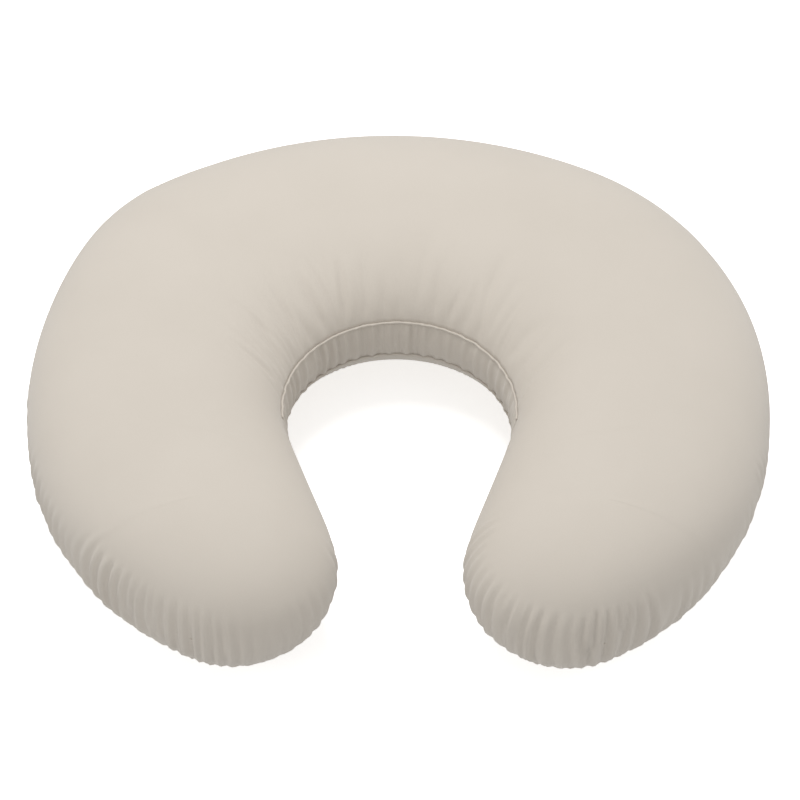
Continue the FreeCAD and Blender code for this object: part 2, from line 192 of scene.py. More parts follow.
def lay_rows(c):
    """Points of every column's rows, and their distances from the outer seam: below it they are negative.

    The stuffing sags at the arms, so that the seam dips there from mid height towards the floor."""
    low, top = quarter(c, -BOTTOM_DROP), quarter(c, TOP_RISE)
    lines = np.concatenate([low[:, :0:-1], top], 1)
    step = np.linalg.norm(np.diff(lines, axis=1), axis=2)
    runs = np.concatenate([np.zeros((len(step), 1)), np.cumsum(step, axis=1)], 1)
    dip = ramp(np.abs(c["run"]), (300, 0), (580, SEAM_DIP), (800, SEAM_DIP), (870, 0))
    near = np.array(SEAM_ROWS)
    grid, dist = [], []
    for line, run, seam in zip(lines, runs, runs[:, low.shape[1] - 1] - dip):
        below = np.linspace(0, seam - near[-1], CROWN_ROWS + 1)[:-1]
        above = np.linspace(seam + near[-1], run[-1], CROWN_ROWS + 1)[1:]
        at = np.r_[below, seam - near[:0:-1], seam + near, above]
        grid.append(np.stack([np.interp(at, run, line[:, k]) for k in range(3)], -1))
        dist.append(at - seam)
    return np.array(grid), np.array(dist)


def blend_ends(grid, c):
    """Smooths the grid where the arm's sides meet its rounded end, but not in the middle of its crown."""
    kept = grid
    count = len(grid)
    meet = np.flatnonzero(np.diff(c["side"], append=c["side"][:1]))
    away = np.abs(np.arange(count)[:, None] - meet[None, :])
    away = np.minimum(away, count - away).min(1)
    weight = ramp(away, (0, 0.5), (14, 0))[:, None, None]
    for _ in range(60):
        grid = grid + weight * ((np.roll(grid, 1, 0) + np.roll(grid, -1, 0)) / 2 - grid)
    to_crown = np.linalg.norm(kept - np.where(c["dist"][..., None] < 0, kept[:, :1], kept[:, -1:]), axis=2)
    return kept + (grid - kept) * ramp(to_crown, (0, 0), (25, 1))[..., None]


def make_grid():
    """Rest shape of the cover: (columns, rows, 3), rows from the underside's crown to the top's."""
    c = columns()
    grid, c["dist"] = lay_rows(c)
    grid = blend_ends(grid, c)
    grid[..., 2] = np.maximum(grid[..., 2], 0)
    grid[..., 1] += frame_y()
    away = c["seam"] - c["crown"]
    away = away / np.maximum(np.linalg.norm(away, axis=1, keepdims=True), 1e-6)
    side = np.exp(-((c["dist"] / BULGE_HEIGHT) ** 2)) * uneven_stuffing(c)[:, None]
    grid[..., :2] += away[:, None] * side[..., None]
    return grid * MM, c


def uneven_stuffing(c):
    """How far each column's side bulges out or in, in mm. The zip's stretch keeps its place."""
    bulge = sum(size * np.exp(-(((c["run"] - at) / BULGE_LENGTH) ** 2)) for at, size in BULGES)
    return bulge * ramp(np.abs(c["run"]), (155, 0), (215, 1))


def frame_y():
    """The hole centre's y in the frame, in mm: the bounding box is centred on the origin."""
    centre, radius = outline()[0][-1][:2]
    return -(BACK_DEPTH + centre[1] - radius) / 2


# --- cloth ---
STEPS = 260
MOMENTUM = 0.9
BEND = 0.02  # stiffness of the cloth against folding
FIBRE = 0.001  # stiffness of the stuffing under it
MAX_IN, MAX_OUT = 4.5 * MM, 3.5 * MM  # how far a fold may sink into the fibre or stand off it
STEP_SHARE = 0.15  # share of each correction that one step makes
SLIP_KEPT = 0.985  # share of a point's sideways slip that it keeps in one step
REST_OUT = 0.3 * MM  # height over the stuffing at which the fibre doesn't push
SHORTEST = 0.05 * MM  # keeps the division by a thread's length safe
SEAM_GROOVE = 0.8  # mm
CREASE_PITCH, GATHER_PITCH = 8.0, 8.5  # round the hole, degrees


def uneven(rng, count, reach):
    """Smooth random numbers round a closed row of columns, about 1 in size."""
    noise = rng.standard_normal(count)
    waves = np.fft.rfft(noise)
    waves *= np.exp(-((np.arange(len(waves)) * reach / count) ** 2))
    noise = np.fft.irfft(waves, count)
    return noise / noise.std()


def spare_cloth(c):
    """Share by which the cloth is cut longer than its place along the seam, per column and row."""
    rng = np.random.default_rng(7)
    a, top = np.abs(c["dist"]), c["dist"] >= 0
    s, right = np.abs(c["run"])[:, None], c["run"][:, None] > 0
    to_hole = c["length"] - s
    count = len(c["run"])
    patchy = np.clip(1 + 0.4 * uneven(rng, count, 40) + 0.4 * uneven(rng, count, 12), 0.3, 2.2)[:, None]
    long_folds = np.clip(uneven(rng, count, 22), 0, 2)[:, None]
    reach = ramp(s, (400, 18), (560, 40), (700, 46), (800, 52), (850, 34)) * (1 + 0.2 * long_folds)
    reach = np.where(right & top, reach * ramp(s, (640, 1), (720, 1.5), (840, 1.6)), reach)
    at_tip = ramp(s, (390, 0), (430, 0.3), (470, 0.25), (540, 0.9), (600, 1), (800, 1), (860, 0))
    tip = 0.20 * at_tip * patchy * np.exp(-((a / np.where(top, reach, 18)) ** 3))
    back = 0.022 * ramp(s, (0, 1), (390, 1), (440, 0)) * patchy * np.exp(-((a / 20) ** 2))
    near_hole = ramp(to_hole, (0, 0.75), (60, 1), (110, 0.9), (150, 0.2), (190, 0))
    soft = np.clip(1 + 0.6 * uneven(rng, count, 30), 0.1, 2.4)[:, None]
    crease = ramp(a, (BAND_HALF, 0.5), (30, 1), (60, 0.8), (110, 0))
    hole = 0.04 * near_hole * soft * np.where(a > BAND_HALF, crease, 0)
    band = 0.15 * ramp(to_hole, (0, 0.8), (80, 1.1), (155, 0.7), (170, 0)) * patchy * (a < BAND_HALF)
    return tip + back + hole + band


def fold_noise(rng, shape, wave, rows):
    """Random folds, about 1 in size, wave columns from fold to fold and each running over some rows."""
    noise = rng.standard_normal(shape)
    across = np.arange(shape[0] // 2 + 1) * wave / shape[0]
    band = np.exp(-(((across - 1) / 0.4) ** 2))[:, None]
    run = np.fft.fftfreq(shape[1]) * rows
    noise = np.fft.ifft(np.fft.fft(noise, axis=1) * np.exp(-(run**2))[None, :], axis=1).real
    noise = np.fft.irfft(np.fft.rfft(noise, axis=0) * band, shape[0], axis=0)
    return noise / noise.std()


def first_folds(c, shape):
    """Height of the folds that the cloth starts from: short at the arms' ends and band, long by the hole."""
    rng = np.random.default_rng(3)
    a, s = np.abs(c["dist"]), np.abs(c["run"])[:, None]
    to_hole = c["length"] - s
    tips = (fold_noise(rng, shape, 5, 30) + fold_noise(rng, shape, 9, 40)) * 0.7
    tips *= ramp(s, (380, 0), (450, 1), (830, 1), (880, 0)) * ramp(a, (40, 1), (70, 0))
    back = fold_noise(rng, shape, 5.0, 20) * ramp(s, (380, 1), (440, 0)) * ramp(a, (25, 1), (40, 0))
    hole = fold_noise(rng, shape, 20, 60) * ramp(to_hole, (150, 1), (200, 0))
    hole *= ramp(a, (BAND_HALF, 0.5), (30, 1), (115, 0))
    band = fold_noise(rng, shape, 6.5, 30) * (to_hole < BAND_REACH) * (a < BAND_HALF)
    near = a > BAND_HALF
    return (0.45 * tips + 0.25 * back + 0.9 * hole * near + 0.25 * band) * MM


def hole_creases(c, shape):
    """Height of the creases that run out from the hole's seam over the top, and of the band's gathers."""
    rng = np.random.default_rng(5)
    to_hole = c["length"] - np.abs(c["run"])
    angle = np.degrees(to_hole / HOLE_R) * np.sign(c["run"])
    d = c["dist"]
    height = np.zeros(shape)
    for at in np.arange(-88, 89, CREASE_PITCH):
        at = at + rng.uniform(-3, 3)
        lean, wide = rng.uniform(-0.10, 0.10), rng.uniform(2.2, 4.2)
        start, end = rng.uniform(18, 30), rng.uniform(50, 105)
        deep = rng.uniform(0.6, 2.1) * ramp(abs(at), (0, 0.6), (25, 0.8), (45, 1.3), (70, 1), (88, 0.4))
        off = angle[:, None] - at - lean * (d - 20)
        fade = ramp(d, (start - 8, 0), (start + 8, 1), ((start + end) / 2, 0.8), (end, 0))
        beside, groove = np.exp(-(((off - 1.3 * wide) / wide) ** 2)), np.exp(-((off / wide) ** 2))
        height += deep * fade * (0.7 * beside - groove)
    for at in np.arange(-90, 91, GATHER_PITCH):
        at = at + rng.uniform(-2.5, 2.5)
        deep, reach = rng.uniform(1.0, 3.0), rng.uniform(14, 28)
        off = angle[:, None] - at
        for seam in (1, -1):
            below = BAND_HALF - seam * d
            fade = ramp(below, (-0.1, 0), (0, 0.3), (2.5, 1), (reach * 0.6, 0.7), (reach, 0))
            ridge = 1.4 * np.exp(-((off / 1.8) ** 2)) - 0.8 * np.exp(-((off / 4.0) ** 2))
            height += deep * fade * ridge * (np.abs(d) < BAND_HALF + 0.05)
    return height * ramp(to_hole, (130, 1), (145, 0))[:, None] * MM


def held(c):
    """How firmly each point is held in place: seams and the zip's edges are sewn, the rest is free."""
    a, s = np.abs(c["dist"]), np.abs(c["run"])[:, None]
    to_hole = c["length"] - s
    outer = (a < 0.1) & (to_hole > BAND_REACH)
    band_seam = (np.abs(a - BAND_HALF) < 0.05) & (to_hole < BAND_REACH)
    zip_edge = (a < SEAM_ROWS[SLOT_ROW] + 0.1) & (s < math.radians(ZIP_HALF) * ARCS[0][0] + 6)
    tip_crown = ramp(a, (62, 0), (80, 1)) * ramp(s, (600, 0), (640, 1), (850, 1), (900, 0))
    return np.maximum.reduce([outer * 0.7, band_seam * 0.6, zip_edge * 1.0, tip_crown])[..., None]


def grid_normals(grid):
    du = np.roll(grid, -1, 0) - np.roll(grid, 1, 0)
    dv = np.empty_like(grid)
    dv[:, 1:-1] = grid[:, 2:] - grid[:, :-2]
    dv[:, 0], dv[:, -1] = grid[:, 1] - grid[:, 0], grid[:, -1] - grid[:, -2]
    n = np.cross(dv, du)
    n[:, 0], n[:, -1] = (0, 0, -1), (0, 0, 1)
    return n / np.linalg.norm(n, axis=2, keepdims=True)


def join_crowns(grid, number):
    """Columns that end at the same crown point share it."""
    counts = np.bincount(number)
    for row in (0, -1):
        for k in range(3):
            grid[:, row, k] = (np.bincount(number, grid[:, row, k]) / counts)[number]


def spring_set(start, spare):
    """Cloth threads along, across and on both diagonals: the two ends' slices and the length at rest."""
    nxt = np.roll(start, -1, 0)
    along0 = np.linalg.norm(nxt - start, axis=2)
    along1 = along0 * (1 + (spare + np.roll(spare, -1, 0)) / 2)
    up0 = np.linalg.norm(start[:, 1:] - start[:, :-1], axis=2)
    gain = along1**2 - along0**2
    gain = (gain[:, 1:] + gain[:, :-1]) / 2
    rise = np.sqrt(np.linalg.norm(nxt[:, 1:] - start[:, :-1], axis=2) ** 2 + gain)
    fall = np.sqrt(np.linalg.norm(nxt[:, :-1] - start[:, 1:], axis=2) ** 2 + gain)
    return along1, up0, rise, fall


def pull(a, b, rest):
    """Half of the move that would bring each pair of points to its thread's length."""
    d = b - a
    length = np.linalg.norm(d, axis=2)
    return d * (0.5 * (length - rest) / np.maximum(length, SHORTEST))[..., None]


def stretch_push(x, springs):
    """Moves that keep the threads at their lengths, along, across and on both diagonals."""
    along1, up1, rise, fall = springs
    push = np.zeros_like(x)
    nxt = np.roll(x, -1, 0)
    f = pull(x, nxt, along1)
    push += f - np.roll(f, 1, 0)
    f = pull(x[:, :-1], x[:, 1:], up1)
    push[:, :-1] += f
    push[:, 1:] -= f
    f = pull(x[:, :-1], nxt[:, 1:], rise) * 0.5
    push[:, :-1] += f
    push[:, 1:] -= np.roll(f, 1, 0)
    f = pull(x[:, 1:], nxt[:, :-1], fall) * 0.5
    push[:, 1:] += f
    push[:, :-1] -= np.roll(f, 1, 0)
    return push


def bows(x):
    """How far each point lies from the middle of its neighbours, along the seam and across it."""
    return (np.roll(x, -1, 0) + np.roll(x, 1, 0)) / 2 - x, (x[:, 2:] + x[:, :-2]) / 2 - x[:, 1:-1]


def add_bend_push(push, x, rest_bows):
    """Adds the moves that resist folding more than the rest shape does."""
    along_bow, across_bow = bows(x)
    bow = along_bow - rest_bows[0]
    push += BEND * (bow - (np.roll(bow, 1, 0) + np.roll(bow, -1, 0)) / 2)
    bow = across_bow - rest_bows[1]
    push[:, 1:-1] += BEND * bow
    push[:, 2:] -= BEND / 2 * bow
    push[:, :-2] -= BEND / 2 * bow


def on_stuffing(x, start, normal, hold):
    """Keeps the cloth between its depth in the fibre and its height over it, and sewn points in place."""
    off = x - start
    out = (off * normal).sum(2, keepdims=True)
    side = off - out * normal
    out = np.clip(out - FIBRE * (out - REST_OUT), -MAX_IN, MAX_OUT)
    x = start + side * SLIP_KEPT + out * normal
    x = start + (x - start) * (1 - hold)
    x[..., 2] = np.maximum(x[..., 2], 0)
    return x


def relax(start, c):
    """Lets the spare cloth buckle against the stuffing. Position-based cloth with momentum."""
    spare, hold = spare_cloth(c), held(c)
    springs = spring_set(start, spare)
    start = start + grid_normals(start) * hole_creases(c, start.shape[:2])[..., None]
    normal = grid_normals(start)
    x = start + normal * first_folds(c, start.shape[:2])[..., None] * (1 - hold)
    old, rest_bows = x.copy(), bows(start)
    for _ in range(STEPS):
        moved = x + (x - old) * MOMENTUM
        old, x = x, moved
        push = stretch_push(x, springs)
        add_bend_push(push, x, rest_bows)
        x = on_stuffing(x + push * STEP_SHARE, start, normal, hold)
        join_crowns(x, c["number"])
    flat_seam = ramp(np.abs(c["dist"]), (0, 0.3), (5, 0.5), (14, 1))[..., None]
    band = (c["length"] - np.abs(c["run"]) < BAND_REACH)[:, None, None]
    return start + (x - start) * np.where(band, 1, flat_seam)


def sew_in(cloth, c):
    """Draws the cloth into a fine groove along the outer seam, away from the zip and the band."""
    a, s = np.abs(c["dist"]), np.abs(c["run"])[:, None]
    where = ramp(s, (152, 0), (160, 1)) * ramp(c["length"] - s, (140, 0), (160, 1))
    depth = SEAM_GROOVE * np.exp(-((a / 1.4) ** 2)) * where
    return cloth - grid_normals(cloth) * (depth * MM)[..., None]


# --- materials ---
def shader(name, **settings):
    """New material and its Principled shader, with plain numbers set on the shader's own sockets."""
    material = bpy.data.materials.new(name)
    material.use_nodes = True
    principled = material.node_tree.nodes["Principled BSDF"]
    for key, value in settings.items():
        principled.inputs[key.replace("_", " ")].default_value = value
    return material, principled


def new(material, kind, **inputs):
    """New node with its inputs set or linked. Keys that the node has as attributes are set as attributes."""
    tree = material.node_tree
    node = tree.nodes.new(kind)
    for key, value in inputs.items():
        if hasattr(node, key):
            setattr(node, key, value)
            continue
        target = node.inputs[int(key[1:])] if key[0] == "i" and key[1:].isdigit() else node.inputs[key]
        if isinstance(value, bpy.types.NodeSocket):
            tree.links.new(value, target)
        else:
            target.default_value = value
    return node


def weave_threads(material, vector, pitch, wobble=0.6):
    """Heights of warp and weft threads, which run across each other at the given pitch in metres."""
    threads = []
    for direction in ("X", "Y"):
        wave = new(material, "ShaderNodeTexWave", Vector=vector, bands_direction=direction)
        wave.wave_profile = "SIN"
        wave.inputs["Scale"].default_value = 2 * math.pi / 20 / pitch
        wave.inputs["Distortion"].default_value = wobble
        wave.inputs["Detail Scale"].default_value = 2.0
        threads.append(wave.outputs["Fac"])
    return new(material, "ShaderNodeMath", operation="MULTIPLY", i0=threads[0], i1=threads[1]).outputs[0]


def two_tones(material, factor, dark, light, start=0.15, end=0.75):
    """Base colour between two tones, by a factor."""
    ramp_node = new(material, "ShaderNodeValToRGB", Fac=factor)
    low, high = ramp_node.color_ramp.elements
    low.position, high.position = start, end
    low.color, high.color = (*dark, 1), (*light, 1)
    principled = material.node_tree.nodes["Principled BSDF"]
    material.node_tree.links.new(ramp_node.outputs["Color"], principled.inputs["Base Color"])


def roughened(material, factor, low, high):
    principled = material.node_tree.nodes["Principled BSDF"]
    rough = new(material, "ShaderNodeMapRange", Value=factor)
    rough.inputs["To Min"].default_value, rough.inputs["To Max"].default_value = low, high
    material.node_tree.links.new(rough.outputs["Result"], principled.inputs["Roughness"])


def bumped(material, height, strength, distance):
    principled = material.node_tree.nodes["Principled BSDF"]
    bump = new(material, "ShaderNodeBump", Strength=strength, Distance=distance, Height=height)
    material.node_tree.links.new(bump.outputs["Normal"], principled.inputs["Normal"])


def place_on(material, flat):
    """Where a point is on the flat cloth, or in the object for a piece that has no flat cut."""
    if flat:
        return new(material, "ShaderNodeUVMap", uv_map="cloth").outputs["UV"]
    return new(material, "ShaderNodeTexCoord").outputs["Object"]


def woven(name, light, dark, pitch, bump=0.35, flat=False, rough=(0.8, 0.95), sheen=0.22):
    """Plain-weave cloth: threads over and under, slubs, soft blotches of colour and a little sheen."""
    material, principled = shader(name, Roughness=0.86, Sheen_Weight=sheen, Sheen_Roughness=0.5)
    principled.inputs["Specular IOR Level"].default_value = 0.18
    vector = place_on(material, flat)
    crossing = weave_threads(material, vector, pitch)
    slubs = new(material, "ShaderNodeTexNoise", Vector=vector, Scale=0.4 / pitch, Detail=2.0).outputs["Fac"]
    body = place_on(material, False)
    patches = new(material, "ShaderNodeTexNoise", Vector=body, Scale=14.0, Detail=3.0).outputs["Fac"]
    height = new(material, "ShaderNodeMath", operation="MULTIPLY_ADD",
                 i0=slubs, i1=0.7, i2=crossing).outputs[0]
    bumped(material, height, bump, 0.5 * pitch)
    fine = new(material, "ShaderNodeMath", operation="MULTIPLY", i0=height, i1=0.45).outputs[0]
    mix = new(material, "ShaderNodeMath", operation="MULTIPLY_ADD", i0=patches, i1=0.5, i2=fine).outputs[0]
    two_tones(material, mix, dark, light)
    roughened(material, slubs, *rough)
    return material


def metal(name, light, dark):
    """Satin nickel plate: fine brushed grain, cloudy tone and a few rubbed patches."""
    material, principled = shader(name, Metallic=1.0, Roughness=0.32)
    body = place_on(material, False)
    stretched = new(material, "ShaderNodeMapping", Vector=body, Scale=(900.0, 900.0, 9000.0)).outputs[0]
    grain = new(material, "ShaderNodeTexNoise", Vector=stretched, Scale=1.0, Detail=3.0).outputs["Fac"]
    cloud = new(material, "ShaderNodeTexNoise", Vector=body, Scale=260.0, Detail=4.0).outputs["Fac"]
    two_tones(material, cloud, dark, light, 0.3, 0.7)
    roughened(material, cloud, 0.24, 0.46)
    bumped(material, grain, 0.12, 0.00005)
    return material


def nylon(name, light, dark):
    """Dyed nylon monofilament, slightly waxy, with a tone that varies along it."""
    material, principled = shader(name, Roughness=0.38, Subsurface_Weight=0.08, Subsurface_Scale=0.0004)
    body = place_on(material, False)
    tone = new(material, "ShaderNodeTexNoise", Vector=body, Scale=180.0, Detail=3.0).outputs["Fac"]
    fine = new(material, "ShaderNodeTexNoise", Vector=body, Scale=2600.0, Detail=2.0).outputs["Fac"]
    two_tones(material, tone, dark, light, 0.3, 0.7)
    roughened(material, fine, 0.3, 0.5)
    bumped(material, fine, 0.2, 0.00004)
    return material


def fibres(name, light, dark):
    """Loose crimped polyester fibre: tangled strands with shaded hollows between tufts."""
    material, principled = shader(name, Roughness=0.8, Sheen_Weight=0.3, Sheen_Roughness=0.6)
    body = place_on(material, False)
    tufts = new(material, "ShaderNodeTexNoise", Vector=body, Scale=55.0, Detail=5.0,
                Distortion=1.5).outputs["Fac"]
    strands = new(material, "ShaderNodeTexNoise", Vector=body, Scale=700.0, Detail=4.0,
                  Distortion=4.0).outputs["Fac"]
    height = new(material, "ShaderNodeMath", operation="MULTIPLY_ADD",
                 i0=strands, i1=0.4, i2=tufts).outputs[0]
    two_tones(material, height, dark, light, 0.4, 0.9)
    roughened(material, strands, 0.7, 0.95)
    bumped(material, height, 0.6, 0.002)
    return material


# --- cover meshes ---
def flat_cut(c):
    """Place of every grid point on the flat cloth it was cut from, in metres, for the weave."""
    away = c["seam"] - c["crown"]
    away = away / np.maximum(np.linalg.norm(away, axis=1, keepdims=True), 1e-6)
    a = np.abs(c["dist"])
    whole = np.repeat(a[:, -1:], a.shape[1], 1)
    whole[:, : len(a[0]) // 2] = a[:, :1]
    return (c["crown"][:, None] + away[:, None] * (whole - a)[..., None]) * MM


def make_mesh(name, grid, number, uv, use):
    """Mesh of the grid's quads that the mask use picks. Points at a shared crown are one vertex."""
    cols, rows = grid.shape[:2]
    index = np.arange(cols * rows).reshape(cols, rows)
    first = np.unique(number, return_index=True)[1]
    for row in (0, -1):
        index[:, row] = index[first[number], row]
    nxt = np.roll(index, -1, 0)
    quads = np.stack([index[:, :-1], index[:, 1:], nxt[:, 1:], nxt[:, :-1]], -1)[use]
    uvs = np.stack([uv[:, :-1], uv[:, 1:], np.roll(uv, -1, 0)[:, 1:], np.roll(uv, -1, 0)[:, :-1]], 2)[use]
    used, flat = np.unique(quads, return_inverse=True)
    quads = flat.reshape(quads.shape)
    faces, corner_uv = [], []
    for quad, corners in zip(quads.tolist(), uvs.tolist()):
        keep = [k for k in range(4) if quad[k] != quad[k - 1]]
        if len(keep) > 2:
            faces.append([quad[k] for k in keep])
            corner_uv += [corners[k] for k in keep]
    mesh = bpy.data.meshes.new(name)
    mesh.from_pydata(grid.reshape(-1, 3)[used].tolist(), [], faces)
    layer = mesh.uv_layers.new(name="cloth")
    layer.data.foreach_set("uv", np.array(corner_uv).ravel())
    mesh.polygons.foreach_set("use_smooth", [True] * len(faces))
    mesh.update()
    piece = bpy.data.objects.new(name, mesh)
    bpy.context.scene.collection.objects.link(piece)
    return piece


def cover_masks(c, shape, slotted=True):
    """Which quads belong to the top panel, the bottom panel and the band, with or without a zip slot."""
    cols, rows = shape[:2]
    middle = rows // 2
    row = np.arange(rows - 1)[None, :] + 0.5 - middle
    s = np.abs(c["run"])
    s = (s + np.roll(s, -1)) / 2
    band_column = ((c["length"] - s) < math.radians(BAND_HALF_ANGLE) * HOLE_R)[:, None]
    slot_column = (s < math.radians(ZIP_HALF) * ARCS[0][0])[:, None]
    band = band_column & (np.abs(row) < BAND_ROW)
    slot = slot_column & (np.abs(row) < SLOT_ROW) & slotted
    return {"top": (row > 0) & ~band & ~slot, "bottom": (row < 0) & ~band & ~slot, "band": band}


def plain_mesh(name, points, faces, smooth=True):
    mesh = bpy.data.meshes.new(name)
    mesh.from_pydata(np.asarray(points).tolist(), [], faces)
    mesh.polygons.foreach_set("use_smooth", [smooth] * len(mesh.polygons))
    mesh.update()
    piece = bpy.data.objects.new(name, mesh)
    bpy.context.scene.collection.objects.link(piece)
    return piece


def finish_piece(piece, material, body="pillow", replaces=()):
    piece.data.materials.clear()
    piece.data.materials.append(material)
    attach(piece, body)
    if replaces:
        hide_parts(*replaces)
    return piece


def thicken(piece, thickness):
    """Gives a sheet its thickness, inward, with closed edges."""
    solid = piece.modifiers.new("thickness", "SOLIDIFY")
    solid.thickness, solid.offset = thickness, -1.0
    solid.use_rim = True


def make_casing(name, cloth, c, material, thickness):
    """Top panel, bottom panel and inner band of the cover or the liner, from a grid of cloth."""
    uv, masks = flat_cut(c), cover_masks(c, cloth.shape, name == "cover")
    for part, node in (("top", "_top_panel"), ("bottom", "_bottom_panel"), ("band", "_inner_band")):
        piece = make_mesh(f"{name}_{part}_cloth", cloth, c["number"], uv, masks[part])
        finish_piece(piece, material, replaces=[name + node])
        thicken(piece, thickness)


def sunk(cloth, c, skin, seam):
    """The cloth moved inward by skin, and by seam where the outer seam's turned-in edges take room."""
    a, s = np.abs(c["dist"]), np.abs(c["run"])[:, None]
    depth = skin + (seam - skin) * np.exp(-((a / 12) ** 2)) * (c["length"] - s > 150)
    return cloth - grid_normals(cloth) * (depth * MM)[..., None]


def make_fill(cloth, c, material):
    uv = flat_cut(c)
    whole = np.ones((cloth.shape[0], cloth.shape[1] - 1), bool)
    piece = make_mesh("fibre_filling", cloth, c["number"], uv, whole)
    finish_piece(piece, material, replaces=["fibre_fill"])


# --- seams, zip and label ---
def rod(path, radius, sides=8):
    """Points and faces of a closed rod along a path. radius is one number or one for each point."""
    path = np.asarray(path, float)
    tangent = np.gradient(path, axis=0)
    tangent /= np.linalg.norm(tangent, axis=1, keepdims=True)
    side = np.cross(tangent, (0.0, 0.0, 1.0))
    weak = np.linalg.norm(side, axis=1) < 0.1
    side[weak] = np.cross(tangent[weak], (1.0, 0.0, 0.0))
    side /= np.linalg.norm(side, axis=1, keepdims=True)
    up = np.cross(side, tangent)
    turn = np.arange(sides) * 2 * math.pi / sides
    radius = np.broadcast_to(radius, len(path))[:, None, None]
    ring = side[:, None] * np.cos(turn)[None, :, None] + up[:, None] * np.sin(turn)[None, :, None]
    points = (path[:, None] + ring * radius).reshape(-1, 3)
    faces = []
    for i in range(len(path) - 1):
        for k in range(sides):
            j = (k + 1) % sides
            faces.append([i * sides + k, i * sides + j, (i + 1) * sides + j, (i + 1) * sides + k])
    last = (len(path) - 1) * sides
    faces += [list(range(sides))[::-1], list(range(last, last + sides))]
    return points, faces


def rods(name, paths, radius, sides=8):
    """One piece made of several rods."""
    points, faces, count = [], [], 0
    for path in paths:
        new_points, new_faces = rod(path, radius, sides)
        faces += [[k + count for k in face] for face in new_faces]
        points.append(new_points)
        count += len(new_points)
    return plain_mesh(name, np.concatenate(points), faces)


def in_order(c, chosen):
    """Columns of a stretch that crosses the middle of the back or of the hole, in the order they run."""
    index = np.flatnonzero(chosen)
    gap = np.flatnonzero(np.diff(index) > 1)
    return np.r_[index[gap[0] + 1 :], index[: gap[0] + 1]] if len(gap) else index


def make_band_seams(cloth, c, material):
    """Rolled seam edge above and below the band, pressed by the gathers of the cloth beside it."""
    middle = cloth.shape[1] // 2
    to_hole = c["length"] - np.abs(c["run"])
    columns_used = in_order(c, to_hole < math.radians(BAND_HALF_ANGLE) * HOLE_R)
    rng = np.random.default_rng(11)
    normal = grid_normals(cloth)
    for name, row in (("top", middle + BAND_ROW), ("bottom", middle - BAND_ROW)):
        path = cloth[columns_used, row] + normal[columns_used, row] * 0.35 * MM
        swell = 1 + 0.10 * uneven(rng, len(path), 2)
        piece = rods(f"band_{name}_seam_roll", [path], SEAM_ROLL_R * MM * swell, SEAM_ROLL_SIDES)
        finish_piece(piece, material, replaces=[f"band_{name}_seam"])


def on_zip(angle, radius, z):
    """Point beside the zip: angle from the middle of the back in degrees, radius and height in mm."""
    flat = normals_at(angle) * np.asarray(radius)[..., None]
    y = frame_y() + BACK_DEPTH - ARCS[0][0]
    return np.stack([flat[..., 0], flat[..., 1] + y, np.broadcast_to(z, flat[..., 0].shape)], -1) * MM


def make_coils(material):
    """Nylon coil on each tape's edge: flattened turns, the two rows half a turn apart so that they mesh."""
    span = math.radians(2 * COIL_HALF) * ARCS[0][0]
    turns = int(span / COIL_PITCH)
    t = np.arange(turns * COIL_POINTS + 1) / COIL_POINTS
    for name, sign in (("upper", 1), ("lower", -1)):
        turn = 2 * math.pi * (t + (0.5 if sign < 0 else 0.0))
        angle = -COIL_HALF + 2 * COIL_HALF * t / turns
        radius = ARCS[0][0] + COIL_MIDDLE + COIL_DEPTH * np.cos(turn)
        z = MID_Z + sign * (COIL_CENTRE - COIL_REACH * np.sin(turn))
        piece = rods(f"zip_coil_{name}_turns", [on_zip(angle, radius, z)], COIL_WIRE_R * MM, 6)
        finish_piece(piece, material, replaces=["zip_coil_" + name])


def make_topstitch(cloth, c, material):
    """Stitches that hold the tapes to the cover: short dashes of thread that sink in at both ends."""
    middle = cloth.shape[1] // 2
    zip_end = math.radians(ZIP_HALF) * ARCS[0][0]
    columns_used = in_order(c, np.abs(c["run"]) <= zip_end)
    normal = grid_normals(cloth)
    for name, row in (("upper", middle + STITCH_ROW), ("lower", middle - STITCH_ROW)):
        line, out = cloth[columns_used, row], normal[columns_used, row]
        run = np.r_[0, np.cumsum(np.linalg.norm(np.diff(line, axis=0), axis=1))]
        paths = []
        for start in np.arange(0.5 * MM, run[-1] - STITCH_LENGTH * MM, STITCH_PITCH * MM):
            share = np.linspace(0, 1, 7)
            at = start + share * STITCH_LENGTH * MM
            lift = (np.sin(share * math.pi) ** 0.6 * 0.5 - 0.22) * MM
            on_line = np.stack([np.interp(at, run, line[:, k]) for k in range(3)], -1)
            away = np.stack([np.interp(at, run, out[:, k]) for k in range(3)], -1)
            paths.append(on_line + away * lift[:, None])
        piece = rods(f"zip_stitches_{name}", paths, STITCH_THREAD_R * MM, 6)
        finish_piece(piece, material, replaces=["zip_stitch_" + name])


